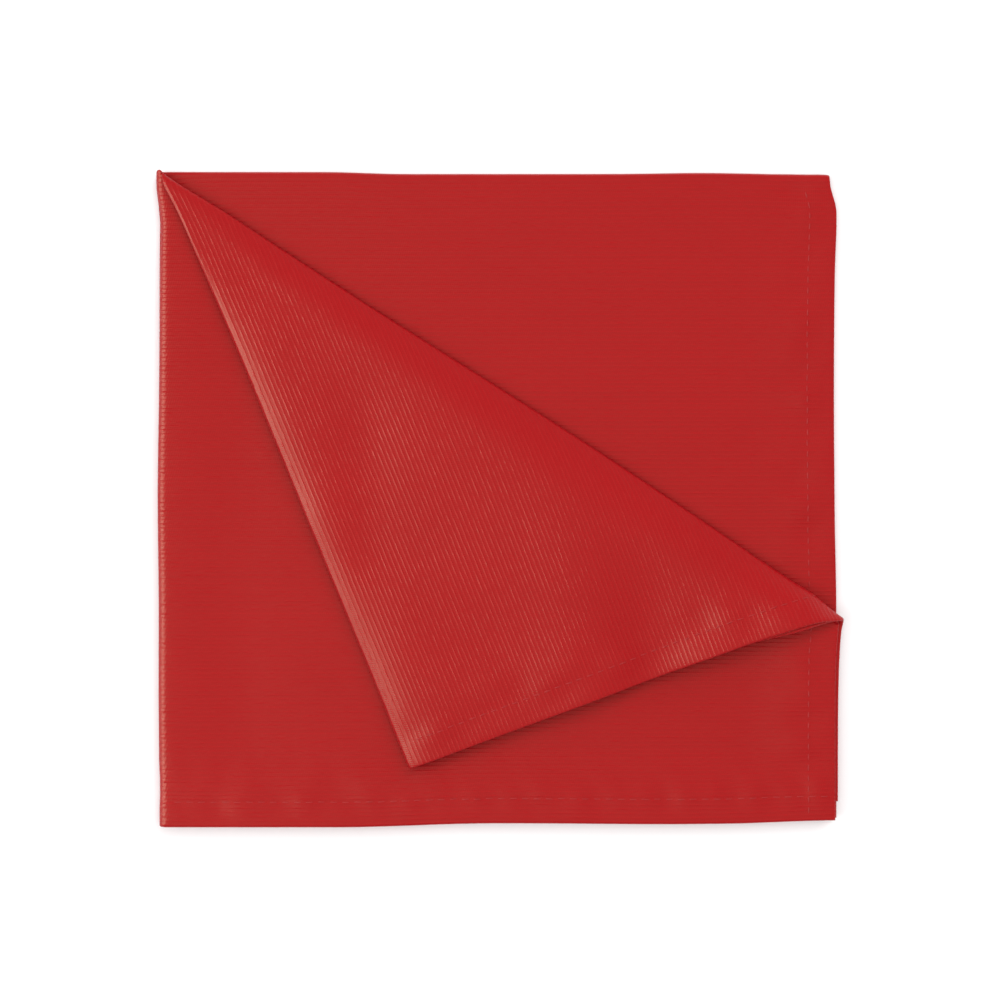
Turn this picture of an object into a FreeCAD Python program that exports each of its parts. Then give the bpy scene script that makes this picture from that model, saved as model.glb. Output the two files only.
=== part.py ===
import FreeCAD, Part
import math
import os

import Sketcher

# A cloth napkin, hemmed on its four sides, folded in half twice into a
# square of four layers, with the upper two layers turned back along a
# diagonal. It is one piece of cloth, so it is one solid.
#
# Frame: +Z up, the napkin lies flat. The folded edges are at the left
# (-X) and at the top (+Y), the loose hemmed edges at the right (+X) and
# at the bottom (-Y). The origin is the middle of the face it lies on.
#
# The layers, from the bottom: 4, 3, 2 and 1. Layers 3 and 4 are the lower
# pair, 1 and 2 the upper pair. The layers of a pair have their back sides
# together, with the hems between them, and join round the top edge. The
# two pairs have their face sides together and join round the left edge.

SIZES = {
    # The folded square
    "folded_width": 254.5,
    "folded_depth": 245.5,
    # The cloth and the room between its layers
    "cloth_thickness": 0.45,
    "face_gap": 0.6,
    "hem_clearance": 0.3,
    # The hems, turned twice, so three layers of cloth
    "hem_layers": 3,
    "side_hem_width": 10.2,
    "end_hem_width": 9.4,
    # The line along which the upper pair turns back: how far below the top
    # edge it starts at the left bend, and its angle to the top edge
    "turn_drop": 6.7,
    "turn_angle": 33.8,
    # The soft roll along that line, measured inside layer 1
    "roll_radius_start": 0.4,
    "roll_radius_end": 4.5,
    "roll_setback": 4.0,
    # The turned corner: its folded edge, the angle between that edge and
    # the turning line, and the room below its far corner
    "corner_edge": 236.3,
    "corner_angle": 33.3,
    "corner_rest_gap": 0.6,
}

# Sizes that follow from the driving ones
DERIVED = {
    "hem_thickness": "sizes.hem_layers * sizes.cloth_thickness",
    "back_gap": "2 * (hem_thickness - sizes.cloth_thickness) + sizes.hem_clearance",
    "pair_height": "2 * sizes.cloth_thickness + back_gap",
    "mid_height": "pair_height + sizes.face_gap / 2",
    "right_x": "sizes.folded_width / 2",
    "bend_x": "mid_height - sizes.folded_width / 2",
    "top_y": "sizes.folded_depth / 2",
    "bottom_y": "-sizes.folded_depth / 2",
    "nose_y": "top_y - pair_height / 2",
    "run_length": "right_x - bend_x",
    "turn_y": "top_y - sizes.turn_drop",
    "turn_length": "run_length / cos(sizes.turn_angle)",
    "roll_length": "turn_length - sizes.roll_setback",
    "roll_rise": "(sizes.roll_radius_end - sizes.roll_radius_start) / turn_length",
    "corner_reach": "sizes.corner_edge * sin(sizes.corner_angle)",
    "corner_along": "sizes.corner_edge * cos(sizes.corner_angle)",
    "corner_drop": "2 * (sizes.roll_radius_start + corner_along * roll_rise) - sizes.corner_rest_gap",
    "turn_back": "180 + atan(corner_drop / corner_reach) / 1deg",
    "far_x": "roll_length * cos(sizes.corner_angle)",
    "far_y": "-roll_length * sin(sizes.corner_angle)",
    "corner_nose": "-pair_height / 2",
    "hem_slant": "-(sizes.corner_edge - far_x) / far_y",
    "hem_squint": "cos(sizes.corner_angle) + hem_slant * sin(sizes.corner_angle)",
    "hem_run": "sizes.side_hem_width * sqrt(1 + hem_slant * hem_slant) / hem_squint",
}


def fill_sheet(doc, name, rows, formula=False):
    """Make a sheet with one named cell a row."""
    sheet = doc.addObject("Spreadsheet::Sheet", name)
    for row, (alias, entry) in enumerate(rows.items(), start=1):
        sheet.set(f"A{row}", alias)
        sheet.setAlias(f"B{row}", alias)
        sheet.set(f"B{row}", f"={entry}" if formula else str(entry))
    doc.recompute()
    return sheet


def origin_plane(body, role):
    """Find one of a body's own origin planes."""
    for feature in body.Origin.OriginFeatures:
        if feature.Role == role:
            return feature
    raise ValueError(f"no plane {role}")


def new_sketch(body, name, role, offset=("0", "0", "0")):
    """Attach a sketch to an origin plane, moved by three expressions."""
    sketch = body.newObject("Sketcher::SketchObject", name)
    sketch.AttachmentSupport = [(origin_plane(body, role), "")]
    sketch.MapMode = "FlatFace"
    for axis, formula in zip("xyz", offset):
        if formula != "0":
            sketch.setExpression(f"AttachmentOffset.Base.{axis}", f"({formula}) * 1mm")
    return sketch


def bind_place(sketch, geometry, point, place):
    """Hold one point of a sketch at a place given by two expressions."""
    for kind, formula in zip(("DistanceX", "DistanceY"), place):
        value = float(sketch.evalExpression(formula))
        held = Sketcher.Constraint(kind, -1, 1, geometry, point, value)
        index = sketch.addConstraint(held)
        sketch.setExpression(f"Constraints[{index}]", f"({formula}) * 1mm")


def draw_loop(sketch, corners):
    """Draw a closed outline with all its corners held.

    A corner is (x, y, edge): edge says how the outline goes on to the next
    corner, by a "line", or by a half circle turned "left" or "right".
    """
    places = [(sketch.evalExpression(x), sketch.evalExpression(y)) for x, y, edge in corners]
    points = [FreeCAD.Vector(float(x), float(y), 0) for x, y in places]
    first = sketch.GeometryCount
    ends = []
    for number, (x, y, edge) in enumerate(corners):
        start = points[number]
        end = points[(number + 1) % len(points)]
        if edge == "line":
            sketch.addGeometry(Part.LineSegment(start, end), False)
            ends.append((1, 2))
            continue
        centre = (start + end) / 2
        radius = (end - start).Length / 2
        begin = start if edge == "left" else end
        angle = math.atan2(begin.y - centre.y, begin.x - centre.x)
        circle = Part.Circle(centre, FreeCAD.Vector(0, 0, 1), radius)
        sketch.addGeometry(Part.ArcOfCircle(circle, angle, angle + math.pi), False)
        ends.append((1, 2) if edge == "left" else (2, 1))
    for number, (x, y, edge) in enumerate(corners):
        this = first + number
        before = first + (number - 1) % len(corners)
        joint = Sketcher.Constraint("Coincident", before, ends[number - 1][1], this, ends[number][0])
        sketch.addConstraint(joint)
        bind_place(sketch, this, ends[number][0], (x, y))
        if edge != "line":
            sketch.addConstraint(Sketcher.Constraint("Vertical", this, 3, this, 1))


def pair_outline():
    """The section of the lower pair, across the top fold.

    Heights are counted from the middle of the stack. Both layers end at
    the bottom in a hem, turned to the back side.
    """
    face_low = "-derived.mid_height"
    face_high = "-sizes.face_gap / 2"
    back_low = "sizes.cloth_thickness - derived.mid_height"
    back_high = "-sizes.face_gap / 2 - sizes.cloth_thickness"
    hem_low = "derived.hem_thickness - derived.mid_height"
    hem_high = "-sizes.face_gap / 2 - derived.hem_thickness"
    end = "derived.bottom_y + derived.hem_thickness / 2"
    hem = "derived.bottom_y + sizes.end_hem_width"
    nose = "derived.nose_y"
    return (
        (end, face_low, "line"),
        (nose, face_low, "left"),
        (nose, face_high, "line"),
        (end, face_high, "left"),
        (end, hem_high, "line"),
        (hem, hem_high, "line"),
        (hem, back_high, "line"),
        (nose, back_high, "right"),
        (nose, back_low, "line"),
        (hem, back_low, "line"),
        (hem, hem_low, "line"),
        (end, hem_low, "left"),
    )


def side_hem_outline():
    """The section of the lower pair's side hem, from mid-cloth inwards."""
    core_low = "sizes.cloth_thickness / 2 - derived.mid_height"
    core_high = "-(sizes.face_gap + sizes.cloth_thickness) / 2"
    hem_low = "derived.hem_thickness - derived.mid_height"
    hem_high = "-sizes.face_gap / 2 - derived.hem_thickness"
    end = "derived.bottom_y + derived.hem_thickness / 2"
    nose = "derived.nose_y"
    return (
        (end, core_low, "line"),
        (nose, core_low, "left"),
        (nose, core_high, "line"),
        (end, core_high, "line"),
        (end, hem_high, "line"),
        (nose, hem_high, "right"),
        (nose, hem_low, "line"),
        (end, hem_low, "line"),
    )


def make_square(doc):
    """The square of four layers, without the upper pair's turned corner."""
    body = doc.addObject("PartDesign::Body", "four_layer_square")
    at_bend = ("0", "derived.mid_height", "derived.bend_x")
    at_right = ("0", "derived.mid_height", "derived.right_x")
    bend_section = new_sketch(body, "bend_section", "YZ_Plane", at_bend)
    draw_loop(bend_section, pair_outline())
    bend = body.newObject("PartDesign::Revolution", "left_bend")
    bend.Profile = bend_section
    bend.ReferenceAxis = (bend_section, ["H_Axis"])
    bend.Angle = 180
    doc.recompute()

    run_section = new_sketch(body, "run_section", "YZ_Plane", at_bend)
    draw_loop(run_section, pair_outline())
    run = body.newObject("PartDesign::Pad", "lower_pair")
    run.Profile = run_section
    run.setExpression("Length", "derived.run_length * 1mm")
    doc.recompute()

    hem_section = new_sketch(body, "side_hem_section", "YZ_Plane", at_right)
    draw_loop(hem_section, side_hem_outline())
    hem = body.newObject("PartDesign::Pad", "side_hem")
    hem.Profile = hem_section
    hem.setExpression("Length", "sizes.side_hem_width * 1mm")
    hem.Reversed = True
    doc.recompute()

    upper = body.newObject("PartDesign::Mirrored", "upper_pair")
    upper.Originals = [run, hem]
    upper.MirrorPlane = (run_section, ["H_Axis"])
    body.Tip = upper
    doc.recompute()

    # The upper pair is open beyond the turning line
    turn = new_sketch(body, "turned_area", "XY_Plane", ("0", "0", "derived.mid_height"))
    beyond = "derived.right_x + sizes.side_hem_width"
    line_end = f"derived.turn_y - ({beyond} - derived.bend_x) * tan(sizes.turn_angle)"
    above = "derived.top_y + sizes.end_hem_width"
    draw_loop(turn, (
        ("derived.bend_x", "derived.turn_y", "line"),
        (beyond, line_end, "line"),
        (beyond, above, "line"),
        ("derived.bend_x", above, "line"),
    ))
    opened = body.newObject("PartDesign::Pocket", "turned_opening")
    opened.Profile = turn
    opened.Type = "ThroughAll"
    opened.Reversed = True
    doc.recompute()
    return body


def corner_section():
    """The section of the turned corner, across its folded edge."""
    leg = "derived.far_y - sizes.side_hem_width"
    nose = "derived.corner_nose"
    back_low = "sizes.cloth_thickness - derived.pair_height"
    return (
        (leg, "-derived.pair_height", "line"),
        (nose, "-derived.pair_height", "left"),
        (nose, "0", "line"),
        (leg, "0", "line"),
        (leg, "-sizes.cloth_thickness", "line"),
        (nose, "-sizes.cloth_thickness", "right"),
        (nose, back_low, "line"),
        (leg, back_low, "line"),
    )


def corner_trim():
    """The frame cut away round the corner: its outer and inner outline.

    The inner outline has the turning line, then the hemmed edge; its third
    side passes clear above the folded edge.
    """
    margin = "sizes.side_hem_width"
    right = f"derived.far_x + 2 * {margin}"
    low = f"derived.far_y - 2 * {margin}"
    outer = (
        (f"-2 * {margin}", low, "line"),
        (right, low, "line"),
        (right, f"2 * {margin}", "line"),
        (f"-2 * {margin}", f"2 * {margin}", "line"),
    )
    inner = (
        (f"-{margin} / tan(sizes.corner_angle)", margin, "line"),
        ("derived.far_x", "derived.far_y", "line"),
        (f"sizes.corner_edge + {margin} * derived.hem_slant", margin, "line"),
    )
    return outer, inner


def hem_strip():
    """The corner's hem seen from above, from the turning line to the fold."""
    inner_x = "(derived.far_x - derived.hem_run * cos(sizes.corner_angle))"
    inner_y = "(derived.far_y + derived.hem_run * sin(sizes.corner_angle))"
    nose = "derived.corner_nose"
    return (
        ("derived.far_x", "derived.far_y", "line"),
        (f"sizes.corner_edge + {nose} * derived.hem_slant", nose, "line"),
        (f"{inner_x} + ({nose} - {inner_y}) * derived.hem_slant", nose, "line"),
        (inner_x, inner_y, "line"),
    )


def turning_face(feature, angle):
    """Name the face of a feature that stands on the turning line."""
    across = FreeCAD.Vector(math.sin(angle), math.cos(angle), 0)
    for number, face in enumerate(feature.Shape.Faces, start=1):
        if all(abs(vertex.Point.dot(across)) < 1e-6 for vertex in face.Vertexes):
            return f"Face{number}"
    raise ValueError("no face on the turning line")


def make_corner(doc, sizes, derived):
    """The turned corner with the soft roll that joins it to the square.

    It is drawn as it lies before it is turned, in a frame of its own: the
    folded edge along X, with layer 1's face side at Z = 0 and layer 2's
    below it. The turning line starts at the origin. The roll is the cut
    face on that line, turned about an axis that rises along the line, so
    it is a slender cone. The body's Placement then turns it all over.
    """
    body = doc.addObject("PartDesign::Body", "turned_corner")
    section = new_sketch(body, "corner_section", "YZ_Plane", ("0", "0", "-sizes.side_hem_width"))
    draw_loop(section, corner_section())
    layers = body.newObject("PartDesign::Pad", "corner_layers")
    layers.Profile = section
    layers.setExpression("Length", "(derived.far_x + 2 * sizes.side_hem_width) * 1mm")
    doc.recompute()

    outline = new_sketch(body, "corner_outline", "XY_Plane", ("0", "0", "-derived.pair_height"))
    for loop in corner_trim():
        draw_loop(outline, loop)
    trimmed = body.newObject("PartDesign::Pocket", "corner_trim")
    trimmed.Profile = outline
    trimmed.Type = "ThroughAll"
    trimmed.Reversed = True
    doc.recompute()

    for name, level in (("lower_hem", "-derived.pair_height"), ("upper_hem", "-derived.hem_thickness")):
        strip = new_sketch(body, f"{name}_strip", "XY_Plane", ("0", "0", level))
        draw_loop(strip, hem_strip())
        hem = body.newObject("PartDesign::Pad", name)
        hem.Profile = strip
        hem.setExpression("Length", "derived.hem_thickness * 1mm")
        doc.recompute()

    axis = new_sketch(body, "roll_axis", "XZ_Plane")
    axis.AttachmentOffset = FreeCAD.Placement(
        FreeCAD.Vector(0, 0, 0), FreeCAD.Rotation(FreeCAD.Vector(0, 1, 0), -sizes.corner_angle)
    )
    axis.setExpression("AttachmentOffset.Rotation.Angle", "-sizes.corner_angle * 1deg")
    start = FreeCAD.Vector(0, sizes.roll_radius_start, 0)
    end = FreeCAD.Vector(derived.turn_length, sizes.roll_radius_end, 0)
    axis.addGeometry(Part.LineSegment(start, end), False)
    bind_place(axis, 0, 1, ("0", "sizes.roll_radius_start"))
    bind_place(axis, 0, 2, ("derived.turn_length", "sizes.roll_radius_end"))
    roll = body.newObject("PartDesign::Revolution", "soft_roll")
    roll.Profile = (hem, [turning_face(hem, math.radians(sizes.corner_angle))])
    roll.ReferenceAxis = (axis, ["Edge1"])
    roll.setExpression("Angle", "derived.turn_back * 1deg")
    roll.Reversed = True
    doc.recompute()

    upright = FreeCAD.Vector(0, 0, 1)
    rise = math.atan(derived.roll_rise)
    pivot = FreeCAD.Vector(0, 0, sizes.roll_radius_start)
    lean = FreeCAD.Vector(math.cos(rise), 0, math.sin(rise))
    on_line = FreeCAD.Placement(FreeCAD.Vector(), FreeCAD.Rotation(upright, sizes.corner_angle))
    turned = FreeCAD.Placement(FreeCAD.Vector(), FreeCAD.Rotation(lean, derived.turn_back), pivot)
    seat = FreeCAD.Vector(derived.bend_x, derived.turn_y, 2 * derived.mid_height)
    in_place = FreeCAD.Placement(seat, FreeCAD.Rotation(upright, -sizes.turn_angle))
    body.Placement = in_place * turned * on_line
    return body


def check(doc, napkin):
    """Stop if any object failed or the napkin isn't one sound solid."""
    for thing in doc.Objects:
        if "Invalid" in thing.State or "Error" in thing.State:
            raise RuntimeError(f"{thing.Name}: {thing.getStatusString()}")
    shape = napkin.Shape
    if shape.isNull() or not shape.isValid() or len(shape.Solids) != 1:
        raise RuntimeError("the napkin isn't one sound solid")


def main():
    doc = FreeCAD.newDocument("cloth_napkin")
    sizes = fill_sheet(doc, "sizes", SIZES)
    derived = fill_sheet(doc, "derived", DERIVED, formula=True)
    square = make_square(doc)
    corner = make_corner(doc, sizes, derived)
    napkin = doc.addObject("Part::MultiFuse", "folded_napkin")
    napkin.Label = "folded_napkin"
    napkin.Shapes = [square, corner]
    napkin.Refine = True
    doc.recompute()
    check(doc, napkin)
    os.makedirs("parts", exist_ok=True)
    napkin.Shape.exportStep(os.path.join("parts", f"{napkin.Label}.step"))
    print(napkin.Label, round(napkin.Shape.Volume), "mm3", len(napkin.Shape.Faces), "faces")


main()
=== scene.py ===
"""A cloth napkin folded in four, with its upper two plies turned back along a diagonal.

The napkin is one square of ribbed cloth with a hem on each side. It is folded in half along
its top edge, then along its left edge, and the upper pair of plies is turned back from the
upper right towards the lower left, in a crease that springs open.

A place on the flat cloth is given by across and along, measured from the middle of the
cloth: across is 0 on the left fold and along is 0 on the top fold. Lengths are millimetres
until a mesh is made.
"""

import logging
import math
from dataclasses import dataclass
from enum import Enum

import bpy
import numpy as np
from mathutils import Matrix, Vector


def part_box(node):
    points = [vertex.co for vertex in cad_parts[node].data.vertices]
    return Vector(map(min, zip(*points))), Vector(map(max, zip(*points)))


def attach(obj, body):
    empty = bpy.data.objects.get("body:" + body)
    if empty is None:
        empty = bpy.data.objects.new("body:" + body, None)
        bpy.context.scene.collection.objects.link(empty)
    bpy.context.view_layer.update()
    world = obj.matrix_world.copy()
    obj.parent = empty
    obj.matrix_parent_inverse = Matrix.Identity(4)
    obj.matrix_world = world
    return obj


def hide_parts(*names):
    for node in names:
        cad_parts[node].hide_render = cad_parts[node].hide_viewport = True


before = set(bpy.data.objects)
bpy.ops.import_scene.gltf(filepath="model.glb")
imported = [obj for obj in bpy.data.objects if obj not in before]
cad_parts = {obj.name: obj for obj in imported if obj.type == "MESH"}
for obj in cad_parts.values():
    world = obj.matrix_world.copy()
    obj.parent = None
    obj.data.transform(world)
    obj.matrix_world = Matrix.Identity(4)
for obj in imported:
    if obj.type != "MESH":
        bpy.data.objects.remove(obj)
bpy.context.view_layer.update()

NAPKIN_NODE = "folded_napkin"
CLOTH_PLACE = "cloth_place"
COAT_SOCKETS = ("Base Color", "Roughness", "Specular IOR Level")
MM = 0.001
QUARTER = math.pi / 2

Array = np.ndarray
Socket = bpy.types.NodeSocket
Pair = tuple[float, float]
Triple = tuple[float, float, float]
log = logging.getLogger("napkin")


class Side(Enum):
    """The two sides of the cloth."""

    FACE = 1
    BACK = -1


def ramp(value: Array, start: float, end: float) -> Array:
    """Rises smoothly from 0 at start to 1 at end."""
    share = np.clip((value - start) / (end - start), 0.0, 1.0)
    return share * share * (3.0 - 2.0 * share)


def hump(value: Array, middle: float, reach: float) -> Array:
    """A soft rise to 1 at the middle, which has sunk to about a third at the reach."""
    return np.exp(-(((value - middle) / reach) ** 2))


def ripple(first: Array, second: Array, seed: int, wave: float) -> Array:
    """An uneven, gentle surface made of a few crossing waves.

    Args:
        first, second: the places' two coordinates.
        seed: picks the directions and phases of the waves.
        wave: the mean length of a wave.

    Returns:
        A height of about -1 to 1 for each place.
    """
    draw = np.random.default_rng(seed)
    total = np.zeros(np.broadcast(first, second).shape)
    waves = 7
    for _ in range(waves):
        heading, phase = draw.uniform(0.0, 2.0 * math.pi, 2)
        number = 2.0 * math.pi / (wave * draw.uniform(0.7, 1.5))
        total += np.sin(number * (first * math.cos(heading) + second * math.sin(heading)) + phase)
    return total / math.sqrt(waves)


def spread(start: float, end: float, step: float) -> Array:
    """Places from start up to, but not at, end, about a step apart."""
    return np.linspace(start, end, max(1, round((end - start) / step)), endpoint=False)


@dataclass(frozen=True)
class Wave:
    """Soft rises and falls along a line.

    Each ramp is its height, its start and its end. Each hump is its height, its middle
    and its reach.
    """

    level: float = 0.0
    ramps: tuple[Triple, ...] = ()
    humps: tuple[Triple, ...] = ()

    def at(self, value: Array) -> Array:
        """The wave's height at each place.

        Args:
            value: places along the line.

        Returns:
            The heights.
        """
        total = self.level + np.zeros_like(value)
        for height, start, end in self.ramps:
            total = total + height * ramp(value, start, end)
        for height, middle, reach in self.humps:
            total = total + height * hump(value, middle, reach)
        return total


@dataclass
class RollPlaces:
    """Places on the turned pair's middle, seen along the crease.

    past is the cloth's length past the start of its turn, and inward the distance back in
    from the roll's foot. out and rise are the place beyond the crease and over the pair
    that lies still, and lean is the angle that the cloth has turned through.
    """

    past: Array
    inward: Array
    out: Array
    rise: Array
    lean: Array


@dataclass
class FoldedCloth:
    """The napkin's one piece of cloth, as a map from the flat cloth to its folded place.

    The plies are numbered from the top. Plies one and two make the upper pair, three and
    four the lower. Ply one has across and along above 0, and ply two along below 0. Points
    have x, y and z last.
    """

    half_width: float
    half_depth: float

    # The cloth, its hems and its two folds
    thickness: float = 0.45
    hem_layers: int = 3
    side_hem: float = 10.9
    end_hem: float = 10.1
    hem_step: float = 0.8
    ply_bend: float = 1.275
    pair_bend: float = 1.8
    corner_pinch: Pair = (0.55, 18.0)

    # How close the plies lie in the field, and how near the folds and hems they part
    field_settle: float = 0.72
    field_ripple: Pair = (0.035, 70.0)
    left_settle: Pair = (3.0, 36.0)
    top_settle: Pair = (2.5, 32.0)
    side_settle: float = 34.0
    end_settle: float = 30.0

    # The crease, and how it presses the cloth
    crease_fall: float = math.radians(33.14)
    crease_start: Pair = (-126.4, 121.3)
    hem_start: float = 259.0
    hem_full: float = 290.0
    hem_crossing: float = 168.0
    press_reach: float = 26.0
    pressed_gap: float = 0.2
    pressed_thickness: float = 0.33
    pressed_room: float = 0.02
    tip_gap: Wave = Wave(humps=((0.27, 0.0, 22.0),))

    # The soft roll that springs from the crease, at an angle in degrees
    crest_reach: float = 17.5
    crest_least: float = 0.8
    crest_growth: float = 45.0
    crest_swell: Wave = Wave(1.0, humps=((0.3, 205.0, 45.0),))
    spring: Wave = Wave(26.0, ramps=((13.0, 10.0, 70.0), (-1.0, 150.0, 200.0), (10.0, 254.0, 304.0)))
    bow: Wave = Wave(humps=((1.6, 195.0, 82.0),))
    bow_before: float = 25.0
    bow_inward: Pair = (8.0, 70.0)

    # The turned corner beyond the roll
    turned_width: float = 134.0
    turned_spread: float = 0.663
    turned_rest: float = 2.7
    turned_slide: float = 0.085
    turned_even: Wave = Wave(0.75, ramps=((-0.4, 90.0, 190.0),))
    turned_power: float = 2.4
    crest_soft: float = 8.0
    crest_soft_share: float = 0.3
    least_width: float = 3.0
    farthest: float = 1.3
    drop_depth: Wave = Wave(ramps=((3.2, 8.0, 85.0), (-1.44, 110.0, 200.0)))
    drop_reach: Wave = Wave(12.0, ramps=((-6.5, 90.0, 200.0),))
    drop_inward: Pair = (2.0, 16.0)
    turned_wave: Wave = Wave(
        humps=((1.3, 31.0, 17.0), (-1.8, 58.0, 13.0), (1.1, 84.0, 12.0), (-0.9, -49.0, 12.0))
    )
    turned_ripple: Pair = (0.16, 32.0)
    wave_inward: Pair = (8.0, 45.0)
    wave_forward: Pair = (60.0, 130.0)
    puff_height: float = 0.9
    puff_reach: float = 9.0
    puff_inward: Pair = (0.0, 20.0)
    puff_forward: Pair = (4.0, 45.0)

    # How the folds and the loose edges stray from the square, by the place along them
    edge_reach: float = 60.0
    fold_reach: float = 40.0
    left_wave: Wave = Wave(ramps=((1.8, 104.0, 117.0),), humps=((0.7, 0.0, 35.0), (0.35, -70.0, 30.0)))
    top_wave: Wave = Wave(0.15, ((-0.75, -65.0, -35.0), (-0.35, 95.0, 118.0)), ((0.4, 76.0, 20.0),))
    side_wave: Wave = Wave(
        0.45, ((-0.45, -42.0, -5.0), (-2.2, 108.5, 120.5)), ((-0.45, 40.0, 45.0), (0.6, 105.0, 14.0))
    )
    bottom_wave: Wave = Wave(-0.9, ((1.5, -60.0, 0.0), (1.1, 85.0, 128.0)), ((-0.35, 60.0, 30.0),))
    second_lift: Wave = Wave(ramps=((7.0, -60.0, 127.0),))
    third_lag: float = 0.6
    fourth_lag: float = 0.35
    fourth_inset: float = 0.25
    fourth_wave: Pair = (0.2, 17.0)

    # How the upper pair's side hems stand out beside the crossing, counted from there
    stray_reach: float = 45.0
    first_stray: Wave = Wave(ramps=((-0.4, -12.0, 6.0),), humps=((0.9, 3.0, 12.0), (2.3, -17.0, 14.0)))
    second_stray: Wave = Wave(ramps=((0.8, -12.0, 6.0),))
    second_flare: Wave = Wave(ramps=((1.9, -40.0, 0.0),))
    flare_reach: float = 13.0
    crossing_sink: float = 1.2
    crossing_size: Pair = (6.0, 9.0)

    # How far from the left fold the turn begins, and from the crease the drift ends
    turn_ramp: Pair = (0.0, 7.0)
    drift_end: float = 14.0

    # The small ear at the upper left corner
    ear_place: float = 3.0
    ear_reach: float = 5.0
    ear_shift: Pair = (-0.2, 0.7)

    # The puckers beside the stitches
    pucker: float = 0.24
    pucker_wave: float = 13.0
    pucker_stretch: float = 0.6
    pucker_reach: float = 6.5
    pucker_inward: float = 0.5
    pucker_start: float = 4.0
    pucker_side_end: float = 40.0
    pucker_low_end: float = 34.0

    # The mesh's lines: their steps from the left fold to the side hem's edge, and their
    # numbers from the top fold's bend to the end hem's edge
    column_steps: tuple[float, ...] = (0.5, 1.1, 3.0, 1.8, 0.6, 1.8)
    row_counts: tuple[int, ...] = (5, 50, 15, 34, 3, 5)
    near_fold: float = 12.0
    near_hem: float = 18.0
    step_margin: float = 0.9
    crease_margin: float = 3.0
    crease_least: float = 6.5
    crease_band: Triple = (3.0, 9.0, 90.0)
    rim_lines: int = 4

    @classmethod
    def from_frame(cls, node: str) -> "FoldedCloth":
        """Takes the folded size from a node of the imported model."""
        low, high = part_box(node)
        return cls(half_width=-low.x / MM, half_depth=high.y / MM)

    @property
    def hem(self) -> float:
        """The thickness of a hem."""
        return self.thickness * self.hem_layers

    @property
    def bend_place(self) -> float:
        """Where the left fold's arcs begin."""
        return -self.half_width + self.pair_bend + self.ply_bend + self.thickness / 2

    @property
    def nose_place(self) -> float:
        """Where the top fold's arcs begin."""
        return self.half_depth - self.ply_bend - self.thickness / 2

    @property
    def pack_middle(self) -> float:
        """The height of the middle of the four plies at the left fold."""
        return self.pair_bend + self.ply_bend + self.thickness / 2

    @property
    def pair_middle(self) -> float:
        """The height of the middle of the upper pair at the left fold."""
        return self.pack_middle + self.pair_bend

    @property
    def foot(self) -> float:
        """The height of the middle of the lowest ply."""
        return self.thickness / 2

    @property
    def reach_across(self) -> float:
        """The cloth's length from the left fold to its side hem's edge."""
        return self.half_width - self.bend_place + QUARTER * self.pair_bend

    @property
    def reach_along(self) -> float:
        """The cloth's length from the top fold to its end hem's edge."""
        return self.half_depth + self.nose_place + QUARTER * self.ply_bend

    @property
    def heading(self) -> Pair:
        """The cosine and sine of the crease's fall."""
        return math.cos(self.crease_fall), math.sin(self.crease_fall)

    def opening(self, across: Array, along: Array) -> Array:
        """Half the space between the middles of a pair's plies at their fold."""
        pinch, reach = self.corner_pinch
        return self.ply_bend * (1.0 - pinch * np.exp(-((across**2 + along**2) / reach**2)))

    def settle(self, across: Array, along: Array) -> Array:
        """How much of the full height the plies keep.

        Args:
            across, along: places on the flat cloth.

        Returns:
            1 at the folds and hems, and less in the field, where the plies lie closer.
        """
        held = (
            1.0 - ramp(np.abs(across), *self.left_settle),
            1.0 - ramp(np.abs(along), *self.top_settle),
            1.0 - ramp(self.reach_across - np.abs(across), self.side_hem, self.side_settle),
            1.0 - ramp(self.reach_along - np.abs(along), self.end_hem, self.end_settle),
        )
        free = np.ones(np.broadcast(across, along).shape)
        for share in held:
            free = free * (1.0 - share)
        height, wave = self.field_ripple
        uneven = height * ripple(across, along, 5, wave)
        return 1.0 - free * (1.0 - self.field_settle - uneven)

    def crease_places(self, run: Array, y: Array) -> tuple[Array, Array]:
        """Where places lie from the crease's start, towards the corner that is turned.

        Args:
            run, y: unrolled distances to the right of and above the middle.

        Returns:
            The distances along the crease and past it.
        """
        (cosine, sine), (start_x, start_y) = self.heading, self.crease_start
        forward = (run - start_x) * cosine - (y - start_y) * sine
        past = (run - start_x) * sine + (y - start_y) * cosine
        return forward, past

    def from_crease(self, forward: Array, out: Array) -> tuple[Array, Array]:
        """Places to the right of and above the middle, the reverse of crease_places."""
        (cosine, sine), (start_x, start_y) = self.heading, self.crease_start
        return start_x + cosine * forward + sine * out, start_y - sine * forward + cosine * out

    def closeness(self, across: Array, along: Array, run: Array, y: Array) -> Array:
        """How much of its space a pair keeps, which the crease presses together.

        Args:
            across, along: places on the flat cloth.
            run, y: unrolled distances to the right of and above the middle.

        Returns:
            A share of the full space.
        """
        forward, past = self.crease_places(run, y)
        pressed = hump(past, 0.0, self.press_reach) * (across > 0)
        return 1.0 - pressed * (1.0 - self.crease_gap(forward) / self.opening(across, along))

    def crease_gap(self, forward: Array) -> Array:
        """Half the space between the pair's plies where they go round the crease."""
        full = self.ply_bend - self.pressed_gap
        return self.pressed_gap + self.tip_gap.at(forward) + full * self.at_hems(forward)

    def at_hems(self, forward: Array) -> Array:
        """How near the crease is to the thick side hems, from 0 to 1."""
        return ramp(forward, self.hem_start, self.hem_full)

    def pressed(self, across: Array, along: Array) -> Array:
        """The thickness of the cloth, which is less where the crease presses it.

        Args:
            across, along: places on the flat cloth.

        Returns:
            The thicknesses.
        """
        run, y, _ = self.flat_place(across, along)
        forward, past = self.crease_places(run, y)
        share = hump(past, 0.0, self.press_reach) * (across > 0) * (1.0 - self.at_hems(forward))
        return self.thickness - (self.thickness - self.pressed_thickness) * share

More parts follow.
